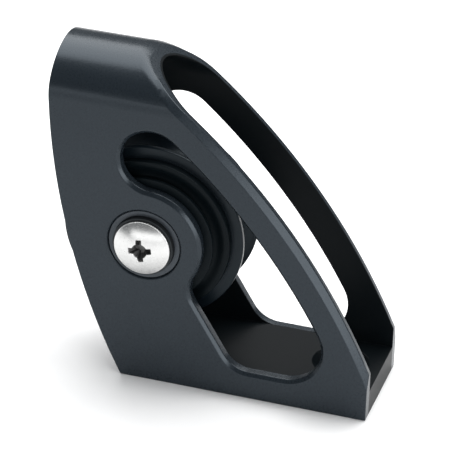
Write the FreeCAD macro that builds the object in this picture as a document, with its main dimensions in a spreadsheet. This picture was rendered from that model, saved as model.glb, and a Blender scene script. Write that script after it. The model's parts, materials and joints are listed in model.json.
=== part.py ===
# Single sheave foot block: a rope lead for a deck, drawn as a parametric document.
# Millimetres. X runs from heel to toe along the deck, Y along the axle, Z up from the deck.
# The origin is on the underside of the base, straight below the axle.
import math
import os
import re
import FreeCAD
import Part
import Sketcher
from FreeCAD import Placement, Rotation, Vector

doc = FreeCAD.newDocument("foot_block")
sheet = doc.addObject("Spreadsheet::Sheet", "sizes")
rollerCount = 16
ballCount = 18

drivingSizes = {
    # housing: a length of closed-loop extrusion, cut to shape
    "blockWidth": 32.5, "wallThickness": 3.5, "floorThickness": 8.3,
    "topHeight": 100.3, "crownRise": 13.4, "crownSideRadius": 10.5,
    "heelX": -6.7, "toeX": 68.2, "toeHeight": 14.5, "noseHeelX": -29.2, "noseToeX": -5.2,
    "heelArcRadius": 206.8, "toeArcRadius": 204.3, "toeChamfer": 1.8, "edgeChamfer": 0.5,
    # kidney window through both cheeks
    "windowMargin": 9.4, "lobeTurn": 86.2, "bossRadius": 17.2, "elbowRadius": 8.0,
    "elbowX": 21.9, "windowHeelX": 32.5, "windowHeelRadius": 9.0, "windowToeRadius": 11.1,
    "windowChamfer": 1.0,
    # mounting holes in the floor
    "screwHole": 8.5, "screwHeadHole": 16.8, "toeHoleX": 55.9, "heelHoleX": 5.5,
    # axle and what it clamps
    "axleHeight": 44.9, "axleRadius": 6.0, "threadRadius": 4.0, "bushRadius": 8.0,
    "bushFlangeRadius": 10.8, "bushFlangeThickness": 1.2, "bushPocketDepth": 0.7,
    "counterboreDepth": 1.6, "washerRadius": 9.1, "washerThickness": 2.2,
    "headRadius": 8.4, "headRim": 0.7, "domeRise": 2.4, "screwLength": 12.0, "axleEndGap": 0.15,
    "recessSpan": 7.0, "recessWidth": 1.5, "recessDepth": 3.4, "recessCore": 3.4,
    "innerRaceWall": 2.5, "thrustPlateRadius": 19.6, "thrustPlateThickness": 1.5,
    # sheave and what turns with it
    "sheaveRadius": 27.3, "flangeClearance": 4.75, "ropeGroove": 6.6, "grooveLift": 0.1,
    "flangeRingWidth": 2.9, "coverRingGap": 0.5, "coverRingRise": 2.5, "coverRingLand": 1.0,
    "coverRingDish": 0.5, "rimChamfer": 0.3,
    # bearings
    "rollerRadius": 1.25, "rollerLength": 14.0, "rollerCageThickness": 2.0, "rollerCageEnd": 1.1,
    "ballRadius": 1.5, "ballTrackOffset": 2.44, "ballCageHalfWidth": 1.7, "ballCageThickness": 1.2,
    "ballCageGap": 1.0,
    # clearances
    "staticFit": 0.05, "runningFit": 0.03, "pocketFit": 0.05,
}
derivedSizes = {
    "cheekFace": "blockWidth / 2",
    "cheekInner": "cheekFace - wallThickness",
    "springHeight": "topHeight - crownRise",
    "crownSideY": "cheekFace - crownSideRadius",
    # the crown arc touches both side arcs and reaches the top
    "crownLift": "crownRise - crownSideRadius",
    "crownDrop": "(crownSideY ^ 2 - crownLift ^ 2) / (2 * crownLift)",
    "crownRadius": "crownRise + crownDrop",
    "toeChord": "sqrt((toeX - noseToeX) ^ 2 + (topHeight - toeHeight) ^ 2)",
    "toeReach": "sqrt(toeArcRadius ^ 2 - toeChord ^ 2 / 4)",
    "toeArcX": "(toeX + noseToeX) / 2 - toeReach * (topHeight - toeHeight) / toeChord",
    "toeArcZ": "(toeHeight + topHeight) / 2 - toeReach * (toeX - noseToeX) / toeChord",
    "windowArcRadius": "toeArcRadius - windowMargin",
    # the lobe lies lobeTurn degrees round from the toe end and touches both the boss and the toe arc
    "axleToToeArc": "sqrt(toeArcX ^ 2 + (axleHeight - toeArcZ) ^ 2)",
    "lobeLean": "(axleHeight - toeArcZ) * sin(lobeTurn) - toeArcX * cos(lobeTurn)",
    "lobeRoom": "windowArcRadius ^ 2 - axleToToeArc ^ 2 - bossRadius ^ 2 - 2 * bossRadius * lobeLean",
    "lobeRadius": "lobeRoom / (2 * (lobeLean + bossRadius + windowArcRadius))",
    "lobeX": "(bossRadius + lobeRadius) * cos(lobeTurn)",
    "lobeHeight": "axleHeight + (bossRadius + lobeRadius) * sin(lobeTurn)",
    "counterboreFloor": "cheekFace - counterboreDepth",
    "bushFace": "counterboreFloor + bushFlangeThickness",
    "pocketFloor": "bushFace - bushPocketDepth",
    "headSeat": "pocketFloor + washerThickness",
    "axleEnd": "pocketFloor - axleEndGap",
    "plateFace": "cheekInner - thrustPlateThickness",
    "ballMiddle": "plateFace - ballRadius - runningFit",
    "hubFace": "ballMiddle - ballRadius - runningFit",
    "flangeFace": "cheekInner - flangeClearance",
    "innerRaceRadius": "axleRadius + innerRaceWall",
    "rollerCircle": "innerRaceRadius + rollerRadius + runningFit",
    "sheaveBore": "rollerCircle + rollerRadius + runningFit",
    "ballCircle": "sheaveBore + ballTrackOffset",
    "flangeRingInner": "sheaveRadius - flangeRingWidth",
    "coverRingOuter": "flangeRingInner - coverRingGap",
    "coverRingInner": "ballCircle + ballCageHalfWidth + ballCageGap",
    "coverRingFace": "flangeFace + coverRingRise",
    "grooveFloor": "sheaveRadius - ropeGroove + grooveLift",
    "grooveHalf": "sqrt(ropeGroove ^ 2 - grooveLift ^ 2)",
}
cells = [(name, str(number)) for name, number in drivingSizes.items()]
cells += [(name, "=" + text) for name, text in derivedSizes.items()]
for row, (name, content) in enumerate(cells, start=1):
    sheet.set(f"A{row}", name)
    sheet.set(f"B{row}", content)
    sheet.setAlias(f"B{row}", name)
doc.recompute()


def formula(text):
    """The text with each size's name written as a cell of the sheet."""
    return re.sub(r"\b([a-z]\w*)\b(?!\()", r"sizes.\1", str(text))


def value(text):
    """What the sheet makes of the text."""
    return float(sheet.evalExpression(formula(text)))


def newBody(label):
    """A body whose own origin is the middle of the axle."""
    body = doc.addObject("PartDesign::Body", label)
    body.setExpression("Placement.Base.z", formula("axleHeight"))
    return body


def newSketch(body, name, role):
    sketch = body.newObject("Sketcher::SketchObject", name)
    plane = next(part for part in body.Origin.OriginFeatures if part.Role == role)
    sketch.AttachmentSupport = [(plane, "")]
    sketch.MapMode = "FlatFace"
    return sketch


def hold(sketch, constraint, text):
    """Adds a constraint whose value is bound to the sheet."""
    index = sketch.addConstraint(constraint)
    sketch.setExpression(f"Constraints[{index}]", formula(text))


def arcThrough(start, end, radius):
    """The short arc from start to end; a positive radius turns left, a negative one right."""
    chord = end - start
    reach = math.sqrt(radius ** 2 - (chord.Length / 2) ** 2)
    side = Vector(-chord.y, chord.x, 0) / chord.Length
    middle = (start + end) / 2 + side * math.copysign(reach, radius)
    ends = (start, end) if radius > 0 else (end, start)
    angles = [math.atan2(point.y - middle.y, point.x - middle.x) for point in ends]
    return Part.ArcOfCircle(Part.Circle(middle, Vector(0, 0, 1), abs(radius)), *angles)


def outline(sketch, corners):
    """A closed outline. A corner is (across, up) or (across, up, radius of the arc that leaves it)."""
    points = [Vector(value(corner[0]), value(corner[1]), 0) for corner in corners]
    base = sketch.GeometryCount
    startPos = []
    for number, corner in enumerate(corners):
        start = points[number]
        end = points[(number + 1) % len(points)]
        radius = value(corner[2]) if len(corner) > 2 else 0
        if radius:
            sketch.addGeometry(arcThrough(start, end, radius), False)
        else:
            sketch.addGeometry(Part.LineSegment(start, end), False)
        startPos.append(2 if radius < 0 else 1)
    for number, corner in enumerate(corners):
        piece = base + number
        following = (number + 1) % len(corners)
        endPos = 3 - startPos[number]
        link = ("Coincident", piece, endPos, base + following, startPos[following])
        sketch.addConstraint(Sketcher.Constraint(*link))
        for kind, text, at in (("DistanceX", corner[0], points[number].x),
                               ("DistanceY", corner[1], points[number].y)):
            hold(sketch, Sketcher.Constraint(kind, piece, startPos[number], at), text)
        if len(corner) > 2:
            arc = sketch.Geometry[piece]
            text = f"abs({corner[2]})"
            hold(sketch, Sketcher.Constraint("Radius", piece, arc.Radius), text)


def circle(sketch, across, up, radius):
    middle = Vector(value(across), value(up), 0)
    piece = sketch.addGeometry(Part.Circle(middle, Vector(0, 0, 1), value(radius)), False)
    hold(sketch, Sketcher.Constraint("DistanceX", piece, 3, middle.x), across)
    hold(sketch, Sketcher.Constraint("DistanceY", piece, 3, middle.y), up)
    hold(sketch, Sketcher.Constraint("Radius", piece, value(radius)), radius)


def turned(label, corners):
    """A body turned about the axle from (radius, along the axle) corners."""
    body = newBody(label)
    sketch = newSketch(body, label + "_profile", "XY_Plane")
    outline(sketch, corners)
    feature = body.newObject("PartDesign::Revolution", label + "_turned")
    feature.Profile = sketch
    feature.ReferenceAxis = (sketch, ["V_Axis"])
    feature.Angle = 360
    return body


def pocket(body, sketch, name, depth=None, reverse=False, midplane=False):
    feature = body.newObject("PartDesign::Pocket", name)
    feature.Profile = sketch
    feature.Reversed = reverse
    feature.SideType = "Symmetric" if midplane else "One side"
    if depth is None:
        feature.Type = "ThroughAll"
    else:
        feature.setExpression("Length", formula(depth))
    return feature


def bodyAxis(body, role):
    return (next(part for part in body.Origin.OriginFeatures if part.Role == role), [""])


def around(body, feature, count):
    """Repeats a feature in a ring about the axle."""
    pattern = body.newObject("PartDesign::PolarPattern", feature.Name + "_ring")
    pattern.Originals = [feature]
    pattern.Axis = bodyAxis(body, "Y_Axis")
    pattern.Angle = 360
    pattern.Occurrences = count
    body.Tip = pattern
    return pattern


# ---------------------------------------------------------------- housing
def onToeCut(point):
    radius = math.hypot(point.x - value("toeArcX"), point.z - value("toeArcZ"))
    return abs(radius - value("toeArcRadius")) < 0.02


def onSkin(point):
    """True on the outside of the extrusion."""
    across = abs(point.y)
    rise = point.z - value("springHeight")
    if rise <= 0:
        return across > value("cheekFace") - 0.02
    fromSide = math.hypot(across - value("crownSideY"), rise) - value("crownSideRadius")
    fromTop = math.hypot(across, rise + value("crownDrop")) - value("crownRadius")
    return abs(fromSide) < 0.02 or abs(fromTop) < 0.02


def onCheek(point):
    return abs(point.y) > value("cheekFace") - 0.02 and point.z < value("springHeight")


def fromAxle(point):
    return math.hypot(point.x, point.z - value("axleHeight"))


def onWindowEdge(point):
    """On a cheek's face, inside the toe cut, outside the boss and above the floor."""
    inToe = math.hypot(point.x - value("toeArcX"), point.z - value("toeArcZ"))
    inside = inToe < value("windowArcRadius") + 0.02 and point.x > value("lobeX - lobeRadius") - 0.02
    low = value("floorThickness") - 0.02
    return onCheek(point) and inside and fromAxle(point) > value("bossRadius") - 0.02 and point.z > low


def onCounterboreEdge(point):
    return onCheek(point) and abs(fromAxle(point) - value("bushFlangeRadius") - value("staticFit")) < 0.02


def edgesWhere(shape, test):
    names = []
    for number, edge in enumerate(shape.Edges, start=1):
        first, last = edge.ParameterRange
        samples = [edge.valueAt(first + (last - first) * part) for part in (0.02, 0.5, 0.98)]
        if all(test(point) for point in samples):
            names.append(f"Edge{number}")
    return names


def loopSketch(body, name, inset, floor):
    """The extrusion's section across Y: floor, two cheeks and a crown of three touching arcs."""
    sketch = newSketch(body, name, "YZ_Plane")
    side = f"cheekFace - {inset}"
    spring = "springHeight"
    meet = value("crownSideRadius") - value(inset)
    lean = math.atan2(value("crownDrop"), value("crownSideY"))
    centre = Vector(value("crownSideY"), value(spring), 0)
    touch = centre + Vector(math.cos(lean), math.sin(lean), 0) * meet
    mirrored = Vector(-touch.x, touch.y, 0)
    low = value(floor)
    wide = value(side)
    up = value(spring)
    corners = [Vector(-wide, low, 0), Vector(wide, low, 0), Vector(wide, up, 0), Vector(-wide, up, 0)]
    crown = value("crownRadius") - value(inset)
    sketch.addGeometry([Part.LineSegment(corners[0], corners[1]),
                        Part.LineSegment(corners[1], corners[2]),
                        arcThrough(corners[2], touch, meet),
                        arcThrough(touch, mirrored, crown),
                        arcThrough(mirrored, corners[3], meet),
                        Part.LineSegment(corners[3], corners[0])], False)
    for piece in range(6):
        link = "Tangent" if piece in (1, 2, 4) else "Coincident"
        sketch.addConstraint(Sketcher.Constraint(link, piece, 2, (piece + 1) % 6, 1))
    # the two sides mirror each other about the middle, and the arcs touch without a corner
    for first, firstPos, second, secondPos in ((0, 1, 0, 2), (1, 2, 5, 1), (3, 1, 3, 2)):
        link = ("Symmetric", first, firstPos, second, secondPos, -2)
        sketch.addConstraint(Sketcher.Constraint(*link))
    sketch.addConstraint(Sketcher.Constraint("Vertical", 1))
    sketch.addConstraint(Sketcher.Constraint("Equal", 2, 4))
    hold(sketch, Sketcher.Constraint("DistanceY", 0, 1, low), floor)
    hold(sketch, Sketcher.Constraint("DistanceX", 0, 2, wide), side)
    hold(sketch, Sketcher.Constraint("DistanceY", 1, 2, up), spring)
    hold(sketch, Sketcher.Constraint("Radius", 2, meet), f"crownSideRadius - {inset}")
    hold(sketch, Sketcher.Constraint("Radius", 3, crown), f"crownRadius - {inset}")
    return sketch


def windowSketch(body):
    """The kidney window: every arc touches its neighbours, and the boss arc is round the axle."""
    sketch = newSketch(body, "window_outline", "XZ_Plane")
    toe = Vector(value("toeArcX"), value("toeArcZ"), 0)
    boss = Vector(0, value("axleHeight"), 0)
    big = value("windowArcRadius")
    lobe = value("lobeRadius")
    bossRadius = value("bossRadius")
    elbow = value("elbowRadius")
    heel = value("windowHeelRadius")
    corner = value("windowToeRadius")
    low = value("floorThickness")
    lobeMiddle = Vector(value("lobeX"), value("lobeHeight"), 0)
    elbowX = value("elbowX")
    elbowDrop = math.sqrt((bossRadius + elbow) ** 2 - elbowX ** 2)
    elbowMiddle = Vector(elbowX, boss.y - elbowDrop, 0)
    heelMiddle = Vector(value("windowHeelX"), low + heel, 0)
    cornerX = toe.x + math.sqrt((big - corner) ** 2 - (low + corner - toe.y) ** 2)
    cornerMiddle = Vector(cornerX, low + corner, 0)
    # the heel line touches the elbow and heel circles on their heel side
    gap = heelMiddle - elbowMiddle
    lean = gap / gap.Length
    tilt = (elbow - heel) / gap.Length
    normal = lean * tilt + Vector(lean.y, -lean.x, 0) * math.sqrt(1 - tilt ** 2)

    def towards(middle, other):
        return math.atan2(other.y - middle.y, other.x - middle.x)

    def arc(middle, radius, first, last):
        return Part.ArcOfCircle(Part.Circle(middle, Vector(0, 0, 1), radius), first, last)

    outward = math.atan2(normal.y, normal.x)
    bossLow = towards(boss, elbowMiddle)
    pieces = [
        Part.LineSegment(Vector(heelMiddle.x, low, 0), Vector(cornerX, low, 0)),
        arc(cornerMiddle, corner, -math.pi / 2, towards(toe, cornerMiddle)),
        arc(toe, big, towards(toe, cornerMiddle), towards(toe, lobeMiddle)),
        arc(lobeMiddle, lobe, towards(toe, lobeMiddle), towards(lobeMiddle, boss)),
        arc(boss, bossRadius, bossLow, towards(boss, lobeMiddle)),
        arc(elbowMiddle, elbow, towards(elbowMiddle, boss), outward),
        Part.LineSegment(elbowMiddle + normal * elbow, heelMiddle + normal * heel),
        arc(heelMiddle, heel, outward, -math.pi / 2),
    ]
    sketch.addGeometry(pieces, False)
    # (end of one piece, start of the next); the boss arc is drawn the other way round
    joins = [(0, 2, 1, 1), (1, 2, 2, 1), (2, 2, 3, 1), (3, 2, 4, 2), (4, 1, 5, 1),
             (5, 2, 6, 1), (6, 2, 7, 1), (7, 2, 0, 1)]
    for join in joins:
        sketch.addConstraint(Sketcher.Constraint("Tangent", *join))
    sketch.addConstraint(Sketcher.Constraint("Horizontal", 0))
    hold(sketch, Sketcher.Constraint("DistanceY", 0, 1, low), "floorThickness")
    for piece, radius in ((1, "windowToeRadius"), (2, "windowArcRadius"), (3, "lobeRadius"),
                          (4, "bossRadius"), (5, "elbowRadius"), (7, "windowHeelRadius")):
        hold(sketch, Sketcher.Constraint("Radius", piece, value(radius)), radius)
    for piece, across, up in ((2, "toeArcX", "toeArcZ"), (4, "0 * bossRadius", "axleHeight")):
        hold(sketch, Sketcher.Constraint("DistanceX", piece, 3, value(across)), across)
        hold(sketch, Sketcher.Constraint("DistanceY", piece, 3, value(up)), up)
    hold(sketch, Sketcher.Constraint("DistanceX", 5, 3, elbowX), "elbowX")
    hold(sketch, Sketcher.Constraint("DistanceX", 7, 3, heelMiddle.x), "windowHeelX")
    return sketch


def makeHousing():
    body = doc.addObject("PartDesign::Body", "housing")
    # the closed loop, drawn longer than the block at both ends
    spare = "10"
    bar = body.newObject("PartDesign::Pad", "bar")
    bar.Profile = loopSketch(body, "bar_section", "0 * wallThickness", "0 * floorThickness")
    bar.SideType = "Symmetric"
    bar.setExpression("Length", formula(f"2 * (toeX + {spare})"))
    channel = loopSketch(body, "channel_section", "wallThickness", "floorThickness")
    channelCut = pocket(body, channel, "channel", midplane=True)
    # the side view: everything outside it is cut away
    cut = newSketch(body, "side_cut", "XZ_Plane")
    outline(cut, [("heelX", "0 * toeX"), ("toeX", "0 * toeX"), ("toeX", "toeHeight", "toeArcRadius"),
                  ("noseToeX", "topHeight"), ("noseHeelX", "topHeight", "heelArcRadius")])
    beyond = f"(toeX + 2 * {spare})"
    outline(cut, [(f"-{beyond}", f"-{spare}"), (beyond, f"-{spare}"),
                  (beyond, f"topHeight + {spare}"), (f"-{beyond}", f"topHeight + {spare}")])
    pocket(body, cut, "side_shape", midplane=True)
    pocket(body, windowSketch(body), "windows", midplane=True)
    bore = newSketch(body, "axle_bore_circle", "XZ_Plane")
    circle(bore, "0 * axleHeight", "axleHeight", "bushRadius + staticFit")
    pocket(body, bore, "axle_bore", midplane=True)
    for name, along in (("front_counterbore", "counterboreFloor"), ("back_counterbore", "-counterboreFloor")):
        sink = newSketch(body, name + "_circle", "XZ_Plane")
        sink.setExpression("AttachmentOffset.Base.z", formula(along))
        circle(sink, "0 * axleHeight", "axleHeight", "bushFlangeRadius + staticFit")
        pocket(body, sink, name, reverse=name.startswith("front"))
    doc.recompute()
    for name, across in (("toe_hole", "toeHoleX"), ("heel_hole", "heelHoleX")):
        spot = newSketch(body, name + "_circle", "XY_Plane")
        spot.setExpression("AttachmentOffset.Base.z", formula("floorThickness"))
        circle(spot, across, "0 * toeX", "screwHole / 2")
        doc.recompute()
        hole = body.newObject("PartDesign::Hole", name)
        hole.Profile = spot
        hole.DepthType = "Dimension"
        hole.setExpression("Depth", formula("floorThickness"))
        hole.setExpression("Diameter", formula("screwHole"))
        hole.HoleCutType = "Countersink"
        hole.HoleCutCustomValues = True
        hole.setExpression("HoleCutDiameter", formula("screwHeadHole"))
        hole.HoleCutCountersinkAngle = 90
        hole.DrillPoint = "Flat"
        doc.recompute()
    chamfers = (("toe_cut_chamfer", "toeChamfer", lambda point: onToeCut(point) and onSkin(point)),
                ("window_chamfer", "windowChamfer", onWindowEdge),
                ("counterbore_chamfer", "edgeChamfer", onCounterboreEdge))
    for name, width, test in chamfers:
        base = body.Tip
        feature = body.newObject("PartDesign::Chamfer", name)
        feature.Base = (base, edgesWhere(base.Shape, test))
        feature.setExpression("Size", formula(width))
        body.Tip = feature
        doc.recompute()
    return body


# ---------------------------------------------------------------- axle and what it clamps
def mirrored(side, corners):
    """The corners with what lies along the axle, and the turn of each arc, taken to that side."""
    return [(corner[0], *(f"{side} * ({text})" for text in corner[1:])) for corner in corners]


def makeScrew(label, side):
    headTop = "headSeat + headRim + domeRise"
    shank = "threadRadius - staticFit"
    domeRadius = "(headRadius ^ 2 + domeRise ^ 2) / (2 * domeRise)"
    body = turned(label, mirrored(side, [
        ("0 * headRadius", "headSeat - screwLength"), (shank, "headSeat - screwLength"),
        (shank, "headSeat"), ("headRadius", "headSeat"),
        ("headRadius", "headSeat + headRim", domeRadius), ("0 * headRadius", headTop)]))
    doc.recompute()
    cross = newSketch(body, label + "_cross", "XZ_Plane")
    cross.setExpression("AttachmentOffset.Base.z", formula(f"-{side} * ({headTop})"))
    far = "recessSpan / 2"
    near = "recessWidth / 2"
    outline(cross, crossCorners(far, near))
    pocket(body, cross, label + "_recess", "recessDepth", reverse=side > 0)
    core = newSketch(body, label + "_core", "XZ_Plane")
    core.setExpression("AttachmentOffset.Base.z", formula(f"-{side} * ({headTop})"))
    circle(core, "0 * recessCore", "0 * recessCore", "recessCore / 2")
    pocket(body, core, label + "_core_cut", "recessDepth + 0.6", reverse=side > 0)


def crossCorners(far, near):
    """The twelve corners of a cross, anticlockwise from its right arm."""
    corners = []
    for turn in range(4):
        for across, up in ((far, f"-({near})"), (far, near), (near, near)):
            for _ in range(turn):
                across, up = f"-({up})", across
            corners.append((across, up))
    return corners


def makeAxleStack():
    pinHole = "axleRadius + staticFit"
    turned("axle_pin", [("threadRadius", "-axleEnd"), ("axleRadius", "-axleEnd"),
                        ("axleRadius", "axleEnd"), ("threadRadius", "axleEnd")])
    turned("inner_race", [(pinHole, "-plateFace"), ("innerRaceRadius", "-plateFace"),
                          ("innerRaceRadius", "plateFace"), (pinHole, "plateFace")])
    for name, side in (("front", -1), ("back", 1)):
        pocketWall = "washerRadius + staticFit"
        turned(name + "_axle_bush", mirrored(side, [
            (pinHole, "cheekInner"), ("bushRadius", "cheekInner"), ("bushRadius", "counterboreFloor"),
            ("bushFlangeRadius", "counterboreFloor"), ("bushFlangeRadius", "bushFace"),
            (pocketWall, "bushFace"), (pocketWall, "pocketFloor"), (pinHole, "pocketFloor")]))
        turned(name + "_head_washer", mirrored(side, [
            ("threadRadius", "pocketFloor"), ("washerRadius", "pocketFloor"),
            ("washerRadius", "headSeat"), ("threadRadius", "headSeat")]))
        turned(name + "_thrust_plate", mirrored(side, [
            (pinHole, "plateFace"), ("thrustPlateRadius - edgeChamfer", "plateFace"),
            ("thrustPlateRadius", "plateFace + edgeChamfer"), ("thrustPlateRadius", "cheekInner"),
            (pinHole, "cheekInner")]))
        makeScrew(name + "_axle_screw", side)


# ---------------------------------------------------------------- sheave and its cover rings
def makeSheave():
    half = [("sheaveBore", "hubFace"), ("flangeRingInner", "hubFace"), ("flangeRingInner", "flangeFace"),
            ("sheaveRadius - rimChamfer", "flangeFace"), ("sheaveRadius", "flangeFace - rimChamfer"),
            ("sheaveRadius", "grooveHalf")]
    front = mirrored(-1, half)
    front[-1] = (*front[-1], "-ropeGroove")
    turned("sheave", front + mirrored(1, half)[::-1])
    dish = "coverRingFace - coverRingDish"
    land = "coverRingOuter - coverRingLand"
    for name, side in (("front", -1), ("back", 1)):
        turned(name + "_cover_ring", mirrored(side, [
            ("coverRingInner", "hubFace"), ("coverRingOuter", "hubFace"),
            ("coverRingOuter", "coverRingFace - rimChamfer"),
            ("coverRingOuter - rimChamfer", "coverRingFace"), (land, "coverRingFace"),
            (f"{land} - coverRingDish", dish), ("coverRingInner", dish)]))


# ---------------------------------------------------------------- rollers and balls
def ringOf(label, kind, sizesOf, count, radius, along):
    """Separate solids in a ring about the axle, as one group."""
    members = []
    for number in range(count):
        member = doc.addObject(kind, f"{label}_{number + 1}")
        for name, text in sizesOf.items():
            member.setExpression(name, formula(text))
        turn = 360 / count * number
        member.Placement = Placement(Vector(), Rotation(Vector(1, 0, 0), -90))
        member.setExpression("Placement.Base.x", formula(f"{radius} * cos({turn})"))
        member.setExpression("Placement.Base.y", formula(along))
        member.setExpression("Placement.Base.z", formula(f"axleHeight + {radius} * sin({turn})"))
        members.append(member)
    group = doc.addObject("Part::Compound", label)
    group.Links = members


def makeRollerRow():
    ringOf("rollers", "Part::Cylinder", {"Radius": "rollerRadius", "Height": "rollerLength"},
           rollerCount, "rollerCircle", "-rollerLength / 2")
    inner = "rollerCircle - rollerCageThickness / 2"
    outer = "rollerCircle + rollerCageThickness / 2"
    slot = "rollerLength / 2 + pocketFit"
    end = f"{slot} + rollerCageEnd"
    body = turned("roller_cage", [(inner, f"-({end})"), (outer, f"-({end})"), (outer, end), (inner, end)])
    doc.recompute()
    window = newSketch(body, "roller_slot_outline", "XY_Plane")
    outline(window, [("innerRaceRadius", f"-({slot})"), ("sheaveBore", f"-({slot})"),
                     ("sheaveBore", slot), ("innerRaceRadius", slot)])
    cut = pocket(body, window, "roller_slot", "2 * (rollerRadius + pocketFit)", midplane=True)
    doc.recompute()
    around(body, cut, rollerCount)


def makeBallRows():
    for name, side in (("front", -1), ("back", 1)):
        ringOf(name + "_balls", "Part::Sphere", {"Radius": "ballRadius"}, ballCount, "ballCircle",
               f"{side} * ballMiddle")
        inner = "ballCircle - ballCageHalfWidth"
        outer = "ballCircle + ballCageHalfWidth"
        near = "ballMiddle - ballCageThickness / 2"
        far = "ballMiddle + ballCageThickness / 2"
        body = turned(name + "_ball_cage", mirrored(side, [(inner, near), (outer, near),
                                                           (outer, far), (inner, far)]))
        doc.recompute()
        holes = newSketch(body, name + "_ball_hole_circle", "XZ_Plane")
        circle(holes, "ballCircle", "0 * ballCircle", "ballRadius + pocketFit")
        cut = pocket(body, holes, name + "_ball_hole", midplane=True)
        doc.recompute()
        around(body, cut, ballCount)


makeHousing()
makeAxleStack()
makeSheave()
makeRollerRow()
makeBallRows()
doc.recompute()

for item in doc.Objects:
    if "Invalid" in item.State or "Error" in item.State:
        raise RuntimeError(f"{item.Label}: {item.State}")
pieces = [item for item in doc.Objects if item.TypeId in ("PartDesign::Body", "Part::Compound")]
os.makedirs("parts", exist_ok=True)
for piece in pieces:
    if piece.Shape.isNull() or not piece.Shape.isValid():
        raise RuntimeError(f"{piece.Label} has no sound shape")
    piece.Shape.exportStep(f"parts/{piece.Label}.step")
    print(piece.Label, round(piece.Shape.Volume), len(piece.Shape.Solids))
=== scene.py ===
import json
import math
import bmesh
import bpy
import numpy as np
from mathutils import Matrix, Vector


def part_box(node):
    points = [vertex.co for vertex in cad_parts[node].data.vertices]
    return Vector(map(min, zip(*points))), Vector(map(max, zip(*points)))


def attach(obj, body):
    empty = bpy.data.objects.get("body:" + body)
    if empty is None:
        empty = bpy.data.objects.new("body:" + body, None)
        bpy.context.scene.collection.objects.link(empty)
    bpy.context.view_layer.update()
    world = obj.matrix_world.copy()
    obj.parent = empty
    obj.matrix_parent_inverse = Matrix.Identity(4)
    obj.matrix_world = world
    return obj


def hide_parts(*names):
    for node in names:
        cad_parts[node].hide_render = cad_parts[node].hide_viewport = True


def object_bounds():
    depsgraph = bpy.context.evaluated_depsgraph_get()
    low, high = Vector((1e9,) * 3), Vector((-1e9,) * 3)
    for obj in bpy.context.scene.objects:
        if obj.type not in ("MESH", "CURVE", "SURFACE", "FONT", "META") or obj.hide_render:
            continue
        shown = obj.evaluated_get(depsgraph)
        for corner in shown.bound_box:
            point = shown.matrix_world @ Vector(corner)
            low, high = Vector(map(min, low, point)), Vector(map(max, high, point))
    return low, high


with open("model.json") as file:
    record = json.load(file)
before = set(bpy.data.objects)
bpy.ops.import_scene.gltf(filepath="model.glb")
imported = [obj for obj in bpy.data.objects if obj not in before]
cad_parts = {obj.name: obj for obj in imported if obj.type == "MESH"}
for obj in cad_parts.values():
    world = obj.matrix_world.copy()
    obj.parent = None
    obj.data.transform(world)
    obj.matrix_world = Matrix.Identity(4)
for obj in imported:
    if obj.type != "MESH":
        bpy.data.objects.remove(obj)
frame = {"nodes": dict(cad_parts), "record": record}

# Looks of a single sheave foot block. Metres, X heel to toe, Y along the axle, Z up.
cadBounds = [[float(v) for v in corner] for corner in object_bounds()]
mm = 0.001
axleHeight = sum(corner[2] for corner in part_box("axle_pin")) / 2
sides = {"front": -1, "back": 1}
print("frame loaded, axle at", round(axleHeight, 5))


# Surfaces turned about the axle.

# Where a turned node lies: its radius, and its nearest and furthest reach along the axle.
def reach(node):
    low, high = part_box(node)
    ends = sorted((abs(low[1]), abs(high[1])))
    return (high[0] - low[0]) / 2, ends[0], ends[1]


# A closed profile with eased corners. A corner is (radius, along, ease). Its point C becomes the
# curve (1-u)^2 A + 2u(1-u) C + u^2 B, where A and B lie `ease` back along the two edges.
def easedProfile(corners, steps=6):
    table = np.array(corners, float)
    point, ease = table[:, None, :2], table[:, None, 2:]
    back, ahead = np.roll(point, 1, axis=0) - point, np.roll(point, -1, axis=0) - point
    first = point + back * ease / np.linalg.norm(back, axis=2, keepdims=True)
    last = point + ahead * ease / np.linalg.norm(ahead, axis=2, keepdims=True)
    u = np.linspace(0, 1, steps)[None, :, None]
    curve = (1 - u) ** 2 * first + 2 * u * (1 - u) * point + u ** 2 * last
    keep = (ease[..., 0] > 0) | (np.arange(steps)[None] == 0)
    return curve[keep]


# Puts a grid of points (stations, turns, 3) into a mesh. Rows close on themselves; columns close
# too when `looped`, and otherwise end in the two pole points.
def gridMesh(name, grid, looped, poles=()):
    stations, turns = grid.shape[:2]
    number = np.arange(stations * turns).reshape(stations, turns)
    aside = np.roll(number, -1, axis=1)
    below = np.roll(number, -1, axis=0)
    quads = np.stack([number, aside, np.roll(below, -1, axis=1), below], axis=-1)
    faces = (quads if looped else quads[:-1]).reshape(-1, 4).tolist()
    points = grid.reshape(-1, 3)
    if len(poles):
        top, bottom = len(points), len(points) + 1
        points = np.vstack([points, poles])
        faces += np.stack([np.full(turns, top), aside[0], number[0]], axis=-1).tolist()
        faces += np.stack([np.full(turns, bottom), number[-1], aside[-1]], axis=-1).tolist()
    mesh = bpy.data.meshes.new(name)
    mesh.from_pydata(points.tolist(), [], faces)
    mesh.polygons.foreach_set("use_smooth", np.ones(len(faces), bool))
    return mesh


def showPiece(name, mesh, node, body, slot):
    piece = bpy.data.objects.new(name, mesh)
    bpy.context.scene.collection.objects.link(piece)
    mesh.materials.append(finishes[slot])
    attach(piece, body)
    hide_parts(node)
    return piece


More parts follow.
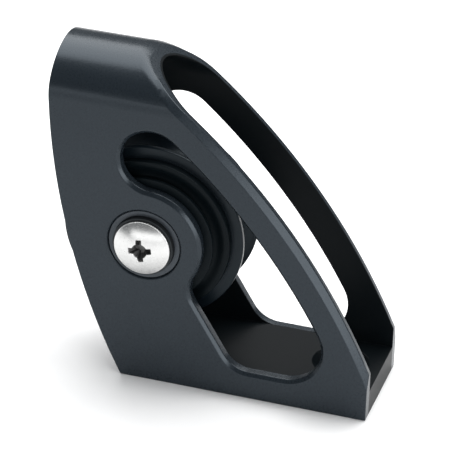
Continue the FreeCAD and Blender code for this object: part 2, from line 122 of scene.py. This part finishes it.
# A ring turned about the axle: x = r cos t, y = a, z = axle height + r sin t, for each profile
# point (r, a). The normal at a point stands square to the line between its two neighbours.
def turnedRing(name, corners, node, body, slot, turns=192):
    profile = easedProfile(corners)
    ahead = np.roll(profile, -1, axis=0)
    if np.sum(profile[:, 0] * ahead[:, 1] - profile[:, 1] * ahead[:, 0]) > 0:
        profile = profile[::-1]
    run = np.roll(profile, -1, axis=0) - np.roll(profile, 1, axis=0)
    run /= np.linalg.norm(run, axis=1, keepdims=True)
    turn = np.linspace(0, 2 * np.pi, turns, endpoint=False)

    def swept(radial, along, lift):
        return np.stack([np.outer(radial, np.cos(turn)), np.outer(along, np.ones(turns)),
                         lift + np.outer(radial, np.sin(turn))], axis=-1)

    mesh = gridMesh(name, swept(profile[:, 0], profile[:, 1], axleHeight), True)
    mesh.normals_split_custom_set_from_vertices(swept(-run[:, 1], run[:, 0], 0).reshape(-1, 3).tolist())
    return showPiece(name, mesh, node, body, slot)


# Shader maths written as Python: a Value wraps a node socket, and operators add Math nodes.
class Value:
    def __init__(self, tree, socket):
        self.tree, self.socket = tree, socket

    def combine(self, operation, *items):
        node = self.tree.nodes.new("ShaderNodeMath")
        node.operation = operation
        for slot, item in enumerate(items):
            if isinstance(item, Value):
                self.tree.links.new(item.socket, node.inputs[slot])
            else:
                node.inputs[slot].default_value = item
        return Value(self.tree, node.outputs[0])

    def __add__(self, other): return self.combine("ADD", self, other)
    def __radd__(self, other): return self.combine("ADD", other, self)
    def __sub__(self, other): return self.combine("SUBTRACT", self, other)
    def __rsub__(self, other): return self.combine("SUBTRACT", other, self)
    def __mul__(self, other): return self.combine("MULTIPLY", self, other)
    def __rmul__(self, other): return self.combine("MULTIPLY", other, self)
    def __truediv__(self, other): return self.combine("DIVIDE", self, other)
    def __pow__(self, other): return self.combine("POWER", self, other)
    def __lt__(self, other): return self.combine("LESS_THAN", self, other)
    def wave(self): return self.combine("SINE", self)
    def atLeast(self, floor): return self.combine("MAXIMUM", self, floor)
    def clamped(self): return self.combine("MINIMUM", self.atLeast(0.0), 1.0)


# A node material being put together. node() adds any node and gives one output as a Value.
class Finish:
    def __init__(self, name):
        self.material = bpy.data.materials.new(name)
        self.material.use_nodes = True
        self.tree = self.material.node_tree
        self.shader = self.tree.nodes["Principled BSDF"]

    def node(self, kind, settings, inputs, output=0):
        made = self.tree.nodes.new(kind)
        for key, setting in settings.items():
            setattr(made, key, setting)
        for key, item in inputs.items():
            self.give(made.inputs[key], item)
        return Value(self.tree, made.outputs[output])

    def give(self, socket, item):
        if isinstance(item, Value):
            self.tree.links.new(item.socket, socket)
        elif isinstance(item, tuple) and len(item) == 3 and socket.type == "RGBA":
            socket.default_value = (*item, 1)
        else:
            socket.default_value = item

    def set(self, **inputs):
        for key, item in inputs.items():
            self.give(self.shader.inputs[key.replace("_", " ")], item)

    def place(self):
        return self.node("ShaderNodeTexCoord", {}, {}, "Object")

    def axes(self):
        split = self.tree.nodes.new("ShaderNodeSeparateXYZ")
        self.tree.links.new(self.place().socket, split.inputs[0])
        return [Value(self.tree, socket) for socket in split.outputs]

    def axleRadius(self):
        x, _, z = self.axes()
        return (x ** 2 + (z - axleHeight) ** 2) ** 0.5

    def noise(self, scale, detail=2.0, roughness=0.5):
        return self.node("ShaderNodeTexNoise", {}, {
            "Vector": self.place(), "Scale": scale, "Detail": detail, "Roughness": roughness})

    # Shows a second, plain surface instead of the first where the factor is 1.
    def shade(self, factor, colour, roughness, specular):
        plain = self.tree.nodes.new("ShaderNodeBsdfPrincipled")
        self.give(plain.inputs["Base Color"], colour)
        self.give(plain.inputs["Roughness"], roughness)
        self.give(plain.inputs["Specular IOR Level"], specular)
        blend = self.tree.nodes.new("ShaderNodeMixShader")
        self.give(blend.inputs[0], factor)
        self.tree.links.new(self.shader.outputs[0], blend.inputs[1])
        self.tree.links.new(plain.outputs[0], blend.inputs[2])
        self.tree.links.new(blend.outputs[0], self.tree.nodes["Material Output"].inputs["Surface"])

    def mix(self, factor, first, second):
        return self.node("ShaderNodeMix", {"data_type": "RGBA"}, {0: factor, 6: first, 7: second}, 2)

    def bump(self, height, strength, distance):
        return self.node("ShaderNodeBump", {}, {
            "Height": height, "Strength": strength, "Distance": distance})


# Painted shade: the inside of the loop is drawn darker and duller than the skin, standing in for the shade
# that falls inside it. Its section is straight up to springHeight and rounded over above that.
paintedChannelShade = {"colour": (0.0025, 0.004, 0.005), "roughness": 0.4, "specular": 0.09,
           "halfWidth": 12.9 * mm, "springHeight": 86.9 * mm, "rise": 10.4 * mm}


# 1 inside the loop and 0 outside, the mask of the painted shade: (y / halfWidth)^2 + (max(z - springHeight,
# 0) / rise)^2 < 1.
def paintedChannelMask(finish):
    _, y, z = finish.axes()
    lift = (z - paintedChannelShade["springHeight"]).atLeast(0.0)
    return (y / paintedChannelShade["halfWidth"]) ** 2 + (lift / paintedChannelShade["rise"]) ** 2 < 1.0


# Black anodised aluminium, bead-blasted: satin skin, fine grain, faint clouding from the dye bath.
blasted = {"colour": (0.0075, 0.0105, 0.0145), "cloudColour": (0.011, 0.0155, 0.0195),
           "specular": 0.39, "specularTint": (0.79, 0.9, 1.0),
           "roughness": 0.28, "roughnessSpread": 0.10, "grainScale": 3600.0, "grainHeight": 0.016 * mm,
           "grainStrength": 0.5, "fleckScale": 1440.0, "fleckRoughness": 0.7, "cloudScale": 60.0}


def blastedFinish():
    finish = Finish("blastedBlack")
    grain = finish.noise(blasted["grainScale"])
    cloud = finish.noise(blasted["cloudScale"], 3.0)
    fleck = finish.noise(blasted["fleckScale"], 3.0, blasted["fleckRoughness"])
    finish.set(Base_Color=finish.mix((cloud * 0.7 + fleck * 0.5 - 0.1).clamped(),
                                     blasted["colour"], blasted["cloudColour"]),
               Specular_IOR_Level=blasted["specular"], Specular_Tint=blasted["specularTint"],
               Roughness=blasted["roughness"] + (fleck - 0.5) * blasted["roughnessSpread"],
               Normal=finish.bump(grain + fleck, blasted["grainStrength"], blasted["grainHeight"]))
    # Paints shade inside the loop: the skin gives way to the darker, duller surface there.
    finish.shade(paintedChannelMask(finish), paintedChannelShade["colour"], paintedChannelShade["roughness"], paintedChannelShade["specular"])
    return finish.material


# Tint of the gloss on turned and moulded parts.
coolTint = (0.84, 0.94, 1.0)


# The lighter colour that a surface clouds to, `drift` being the share it gains.
def worn(colour, drift):
    return tuple(min(1.0, shade * (1 + drift)) for shade in colour)


turnedMarks = {"cloudScale": 110.0, "feedScale": 900.0, "feedSway": 2.0, "cloudRoughness": 0.14,
               "toolRoughness": 0.04, "strength": 0.5}


# A part turned on a lathe: tool lines run round the axle, `lines` of them to the millimetre.
def turnedFinish(name, colour, roughness, metallic, lines, lineDepth, specular=0.5, drift=0.35):
    finish = Finish(name)
    cloud = finish.noise(turnedMarks["cloudScale"], 3.0)
    feed = finish.noise(turnedMarks["feedScale"], 2.0)
    phase = finish.axleRadius() * (2 * math.pi * lines / mm) + feed * turnedMarks["feedSway"]
    tool = phase.wave() * 0.5 + 0.5
    uneven = (cloud - 0.5) * turnedMarks["cloudRoughness"] + (tool - 0.5) * turnedMarks["toolRoughness"]
    finish.set(Base_Color=finish.mix((cloud * 0.7 + tool * 0.3).clamped(), colour, worn(colour, drift)),
               Roughness=roughness + uneven, Metallic=metallic,
               Specular_IOR_Level=specular, Specular_Tint=coolTint,
               Normal=finish.bump(tool + feed * 0.5, turnedMarks["strength"], lineDepth))
    return finish.material


mouldedMarks = {"textureScale": 2600.0, "cloudScale": 140.0, "textureRoughness": 0.12,
                "strength": 0.4, "depth": 0.008 * mm}


# Moulded acetal: slightly waxy, with a fine spark-eroded texture.
def mouldedFinish(name, colour, roughness, specular=0.5, drift=0.3):
    finish = Finish(name)
    texture = finish.noise(mouldedMarks["textureScale"])
    cloud = finish.noise(mouldedMarks["cloudScale"], 3.0)
    finish.set(Base_Color=finish.mix(cloud, colour, worn(colour, drift)),
               Roughness=roughness + (texture - 0.5) * mouldedMarks["textureRoughness"],
               Specular_IOR_Level=specular, Specular_Tint=coolTint,
               Normal=finish.bump(texture, mouldedMarks["strength"], mouldedMarks["depth"]))
    return finish.material


# Polished stainless screw: fine brushing, and painted shade, a dark grey, down in the driver recess.
# The recess colour is painted shade, darker deep in the driver recess where shade falls.
screwSteel = {"colour": (0.72, 0.72, 0.71), "dull": (0.52, 0.52, 0.52), "recess": (0.15, 0.15, 0.15),
              "roughness": 0.25, "brushRoughness": 0.16, "recessRoughness": 0.3, "brushScale": 2400.0,
              "cloudScale": 260.0, "strength": 0.35, "brushDepth": 0.004 * mm}


def screwFinish():
    finish = Finish("polishedStainless")
    brush = finish.noise(screwSteel["brushScale"], 3.0)
    cloud = finish.noise(screwSteel["cloudScale"], 3.0)
    # depth is the mask of the painted shade down in the driver recess, read from the mesh attribute.
    depth = finish.node("ShaderNodeAttribute", {"attribute_name": "recessShadeShare"}, {}, "Fac").clamped()
    polished = finish.mix(cloud * 0.5, screwSteel["colour"], screwSteel["dull"])
    uneven = (brush - 0.5) * screwSteel["brushRoughness"] + depth * screwSteel["recessRoughness"]
    finish.set(Base_Color=finish.mix(depth, polished, screwSteel["recess"]),
               Roughness=screwSteel["roughness"] + uneven, Metallic=1.0,
               Normal=finish.bump(brush, screwSteel["strength"], screwSteel["brushDepth"]))
    return finish.material


finishes = {
    "black_anodised": blastedFinish(),
    "sheave_black": turnedFinish("turnedBlack", (0.003, 0.0055, 0.008), roughness=0.36, metallic=0.0,
                                 lines=5.0, lineDepth=0.003 * mm, specular=0.22),
    "stainless": screwFinish(),
    "bush_grey": turnedFinish("bushGrey", (0.028, 0.032, 0.038), roughness=0.32, metallic=0.2,
                              lines=3.0, lineDepth=0.012 * mm),
    "washer_black": mouldedFinish("washerBlack", (0.003, 0.003, 0.0035), roughness=0.6),
    "acetal_black": mouldedFinish("acetalBlack", (0.0015, 0.003, 0.004), roughness=0.42, specular=0.11),
    "roller_amber": mouldedFinish("rollerAmber", (0.3, 0.18, 0.06), roughness=0.35),
    "ball_white": mouldedFinish("ballWhite", (0.72, 0.71, 0.66), roughness=0.3, drift=0.08),
}
for part in frame["record"]["subparts"]:
    node = frame["nodes"][part["node"]]
    node.data.materials.clear()
    node.data.materials.append(finishes[part["material_slot"]])
print("finishes ready")


# Housing: the machined body with its edges broken.
housing = {"edgeBreak": 0.22 * mm, "edgeAngle": 32, "flatAngle": 0.3, "weld": 0.001 * mm}


def makeHousing():
    mesh = bpy.data.meshes.new("housing_skin")
    work = bmesh.new()
    work.from_mesh(frame["nodes"]["housing"].data)
    bmesh.ops.remove_doubles(work, verts=work.verts, dist=housing["weld"])
    bmesh.ops.dissolve_limit(work, angle_limit=math.radians(housing["flatAngle"]),
                             verts=work.verts, edges=work.edges)
    work.to_mesh(mesh)
    work.free()
    mesh.materials.clear()
    mesh.polygons.foreach_set("use_smooth", np.ones(len(mesh.polygons), bool))
    piece = showPiece("housing_skin", mesh, "housing", "block", "black_anodised")
    broken = piece.modifiers.new("edgeBreak", "BEVEL")
    broken.width, broken.segments = housing["edgeBreak"], 2
    broken.limit_method, broken.angle_limit = "ANGLE", math.radians(housing["edgeAngle"])
    broken.use_clamp_overlap = False
    evened = piece.modifiers.new("evened", "WEIGHTED_NORMAL")
    evened.keep_sharp = True
    return piece


makeHousing()
print("housing done")


# Sheave, its cover rings and the thrust plates.
sheave = {"rimEase": 0.45 * mm, "innerEase": 0.25 * mm, "stepEase": 0.06 * mm, "ringWidth": 2.9 * mm,
          "hubRise": 0.19 * mm, "groove": 6.6 * mm, "grooveLift": 0.1 * mm, "grooveSteps": 40,
          "bore": 11.06 * mm, "turns": 256}
coverRing = {"inner": 16.2 * mm, "land": 0.8 * mm, "dish": 0.75 * mm, "dishSteps": 24, "ease": 0.3 * mm,
             "seatEase": 0.1 * mm}
thrustPlate = {"bore": 6.05 * mm, "rimEase": 0.6 * mm, "ease": 0.15 * mm}


# The rope groove is an arc about (rim + lift, 0) of the groove's radius.
def makeSheave():
    radius, _, _ = reach("sheave")
    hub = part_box("sheave")[1][1]
    face = hub - sheave["hubRise"]
    ring = radius - sheave["ringWidth"]
    half = math.acos(sheave["grooveLift"] / sheave["groove"])
    turn = np.linspace(half, -half, sheave["grooveSteps"])
    arc = np.stack([radius + sheave["grooveLift"] - sheave["groove"] * np.cos(turn),
                    sheave["groove"] * np.sin(turn), np.zeros_like(turn)], axis=-1)
    step = sheave["stepEase"]
    front = [(sheave["bore"], hub, sheave["innerEase"]), (ring, hub, step), (ring, face, step),
             (radius, face, sheave["rimEase"])]
    back = [(r, -a, ease) for r, a, ease in reversed(front)]
    turnedRing("sheave_turned", front + arc.tolist() + back, "sheave", "sheave_group", "sheave_black",
               sheave["turns"])


# The cover ring's face is dished: depth = dish * sin^2(pi v) across v from 0 to 1 of its width.
def makeCoverRing(side):
    node = side + "_cover_ring"
    outer, seat, face = reach(node)
    v = np.linspace(0, 1, coverRing["dishSteps"])
    start = outer - coverRing["land"]
    across = start + (coverRing["inner"] + coverRing["land"] - start) * v
    along = face - coverRing["dish"] * np.sin(np.pi * v) ** 2
    dished = np.stack([across, along, np.zeros_like(v)], axis=-1)
    corners = [(coverRing["inner"], seat, coverRing["seatEase"]), (outer, seat, coverRing["seatEase"]),
               (outer, face, coverRing["ease"]), *dished.tolist(),
               (coverRing["inner"], face, coverRing["ease"])]
    turnedRing(node + "_moulded", [(r, sides[side] * a, ease) for r, a, ease in corners],
               node, "sheave_group", "acetal_black", sheave["turns"])


def makeThrustPlate(side):
    node = side + "_thrust_plate"
    radius, near, far = reach(node)
    ease, bore = thrustPlate["ease"], thrustPlate["bore"]
    corners = [(bore, near, ease), (radius, near, thrustPlate["rimEase"]),
               (radius, far, ease), (bore, far, ease)]
    turnedRing(node + "_moulded", [(r, sides[side] * a, e) for r, a, e in corners],
               node, "block", "acetal_black")


makeSheave()
for side in sides:
    makeCoverRing(side)
    makeThrustPlate(side)
print("sheave, cover rings and thrust plates done")


# Axle bushes, head washers and domed screws.
bush = {"bore": 6.05 * mm, "body": 8.0 * mm, "flange": 1.2 * mm, "pocket": 9.15 * mm,
        "pocketDepth": 0.7 * mm, "ease": 0.12 * mm, "rimEase": 0.3 * mm}
washer = {"bore": 4.0 * mm, "ease": 0.12 * mm}
screw = {"shank": 3.95 * mm, "rim": 0.7 * mm, "dome": 2.4 * mm, "length": 12.0 * mm, "turns": 288,
         "domeSteps": 110, "rimSteps": 8, "armHalf": 0.78 * mm, "armReach": 3.55 * mm, "armTaper": 1.7 * mm,
         "draft": 0.3 * mm, "core": 2.35 * mm, "coreTaper": 1.3 * mm, "recess": 3.0 * mm, "recessTurn": 7,
         "rimSoft": 0.015, "spread": 0.28, "seatEase": 0.1 * mm, "tipEase": 0.4 * mm, "recessShadeRise": 6}


def makeBush(side):
    node = side + "_axle_bush"
    radius, near, far = reach(node)
    seat, floor, ease = far - bush["flange"], far - bush["pocketDepth"], bush["ease"]
    corners = [(bush["bore"], near, ease), (bush["body"], near, ease), (bush["body"], seat, ease),
               (radius, seat, ease), (radius, far, bush["rimEase"]), (bush["pocket"], far, ease),
               (bush["pocket"], floor, ease), (bush["bore"], floor, ease)]
    turnedRing(node + "_turned", [(r, sides[side] * a, e) for r, a, e in corners],
               node, "block", "bush_grey")


def makeWasher(side):
    node = side + "_head_washer"
    radius, near, far = reach(node)
    corners = [(washer["bore"], near), (radius, near), (radius, far), (washer["bore"], far)]
    turnedRing(node + "_cut", [(r, sides[side] * a, washer["ease"]) for r, a in corners],
               node, "block", "washer_black")


# Steps smoothly from 0 to 1 as the value goes from 0 to 1.
def eased(value):
    share = np.clip(value, 0, 1)
    return share * share * (3 - 2 * share)


# How deep the driver recess is at (p, q) from the head's middle: the deepest of two crossed arms
# that slope up to their tips, and a cone in the middle.
def recessDepth(p, q):
    def arm(along, across):
        return eased((screw["armHalf"] - abs(across)) / screw["draft"] + 0.5) * \
            np.clip((screw["armReach"] - abs(along)) / screw["armTaper"], 0, 1)
    core = np.clip((screw["core"] - np.hypot(p, q)) / screw["coreTaper"], 0, 1)
    return screw["recess"] * np.maximum(np.maximum(arm(p, q), arm(q, p)), core)


# The head is a cap of a sphere: height = sqrt(R^2 - r^2) - (R - dome), less the recess. Its rings
# lie closer together in the middle, where the recess is: r grows as (1 - spread) u + spread u^3.
def makeScrew(side):
    node = side + "_axle_screw"
    radius, near, _ = reach(node)
    seat = near + screw["length"]
    top = seat + screw["rim"] + screw["dome"]
    sphere = (radius ** 2 + screw["dome"] ** 2) / (2 * screw["dome"])
    u = np.linspace(0, 1, screw["domeSteps"] + 1)[1:]
    spread = screw["spread"]
    domeRadius = radius * (1 - screw["rimSoft"]) * ((1 - spread) * u + spread * u ** 3)
    domeAlong = top - sphere + np.sqrt(sphere ** 2 - domeRadius ** 2)
    turnOver = np.linspace(0, np.pi / 2, screw["rimSteps"] + 1)[1:]
    soft = radius * screw["rimSoft"]
    lip = domeAlong[-1] - soft
    seatEase, tipEase = screw["seatEase"], screw["tipEase"]
    rest = np.array([(radius - soft + soft * math.sin(a), lip + soft * math.cos(a)) for a in turnOver]
                    + [(radius, seat + seatEase), (radius - seatEase, seat), (screw["shank"], seat),
                       (screw["shank"], near + tipEase), (screw["shank"] - tipEase, near)])
    radial = np.concatenate([domeRadius, rest[:, 0]])
    along = np.concatenate([domeAlong, rest[:, 1]])
    turn = np.linspace(0, 2 * np.pi, screw["turns"], endpoint=False)
    x, z = np.outer(radial, np.cos(turn)), np.outer(radial, np.sin(turn))
    tilt = math.radians(screw["recessTurn"])
    p, q = x * math.cos(tilt) + z * math.sin(tilt), z * math.cos(tilt) - x * math.sin(tilt)
    onDome = (np.arange(len(radial)) < len(domeRadius))[:, None]
    sunk = recessDepth(p, q) * onDome
    y = (along[:, None] - sunk) * sides[side]
    grid = np.stack([x, y, axleHeight + z], axis=-1)
    poles = [(0, (top - screw["recess"]) * sides[side], axleHeight), (0, near * sides[side], axleHeight)]
    if side == "back":  # the grid runs the other way round, so that its faces still point outwards
        grid, sunk = grid[:, ::-1], sunk[:, ::-1]
    # The painted shade in the driver recess deepens with how far the dome is sunk there.
    share = np.append(sunk.ravel() / screw["recess"], (1, 0))
    mesh = gridMesh(node + "_domed", grid, False, np.array(poles))
    layer = mesh.attributes.new("recessShadeShare", "FLOAT", "POINT")
    layer.data.foreach_set("value", np.minimum(1, share * screw["recessShadeRise"]).astype(np.float32))
    showPiece(node + "_domed", mesh, node, "block", "stainless")


for side in sides:
    makeBush(side)
    makeWasher(side)
    makeScrew(side)
print("bushes, washers and screws done")


# Floor, light and camera.
studio = {"floorWhite": 0.9, "floorDrift": 0.04, "floorHalf": 3.0, "floorGap": 0.1 * mm,
          "worldColour": (0.93, 0.97, 1.0, 1), "worldStrength": 0.22,
          "azimuth": 16.864, "elevation": 29.356, "roll": 1.775, "distance": 0.867826,
          "sensor": 36.0, "lens": 239.864, "target": (0.019268, 0.0, 0.046738)}
# Each softbox: place, aim, width, height, radiance.
softboxes = {
    "overhead": ((0.0, 0.56, 1.0), (0.0, 0.56, 0.0), 1.8, 1.28, 4.6),
    "toeCard": ((1.35, -0.8, 0.42), (0.0, 0.0, 0.06), 0.8, 1.0, 5.0),
    "frontCard": ((0.0, -1.7, 0.2), (0.0, 0.0, 0.12), 2.4, 0.5, 1.6),
}


def makeFloor():
    mesh = bpy.data.meshes.new("floor")
    half, low = studio["floorHalf"], cadBounds[0][2] - studio["floorGap"]
    mesh.from_pydata([(-half, -half, low), (half, -half, low), (half, half, low), (-half, half, low)],
                     [], [(0, 1, 2, 3)])
    floor = bpy.data.objects.new("floor", mesh)
    bpy.context.scene.collection.objects.link(floor)
    finish = Finish("paper")
    dim, bright = studio["floorWhite"], studio["floorWhite"] + studio["floorDrift"]
    finish.set(Base_Color=finish.mix(finish.noise(40.0, 4.0), (dim,) * 3, (bright,) * 3), Roughness=0.9)
    mesh.materials.append(finish.material)


def makeSoftbox(name, place, aim, wide, high, radiance):
    data = bpy.data.lights.new(name, "AREA")
    data.shape, data.size, data.size_y = "RECTANGLE", wide, high
    data.energy = radiance * math.pi * wide * high
    lamp = bpy.data.objects.new(name, data)
    bpy.context.scene.collection.objects.link(lamp)
    lamp.location = place
    lamp.rotation_euler = (Vector(aim) - Vector(place)).to_track_quat("-Z", "Y").to_euler()


def makeWorld():
    world = bpy.data.worlds.new("studio")
    bpy.context.scene.world = world
    world.use_nodes = True
    sky = world.node_tree.nodes["Background"]
    sky.inputs["Color"].default_value = studio["worldColour"]
    sky.inputs["Strength"].default_value = studio["worldStrength"]


def makeCamera():
    turn, lift, roll = (math.radians(studio[key]) for key in ("azimuth", "elevation", "roll"))
    back = Vector((math.sin(turn) * math.cos(lift), -math.cos(turn) * math.cos(lift), math.sin(lift)))
    right = Vector((math.cos(turn), math.sin(turn), 0))
    up = back.cross(right)
    rolledRight = right * math.cos(roll) + up * math.sin(roll)
    rolledUp = up * math.cos(roll) - right * math.sin(roll)
    data = bpy.data.cameras.new("camera")
    data.sensor_width, data.lens = studio["sensor"], studio["lens"]
    data.clip_start, data.clip_end = 0.01, 50
    camera = bpy.data.objects.new("camera", data)
    bpy.context.scene.collection.objects.link(camera)
    camera.matrix_world = Matrix((rolledRight, rolledUp, back)).transposed().to_4x4()
    camera.location = Vector(studio["target"]) + back * studio["distance"]
    bpy.context.scene.camera = camera


makeFloor()
makeWorld()
for name, (place, aim, wide, high, radiance) in softboxes.items():
    makeSoftbox(name, place, aim, wide, high, radiance)
makeCamera()
bpy.context.scene.view_settings.view_transform = "Standard"
print("studio ready")
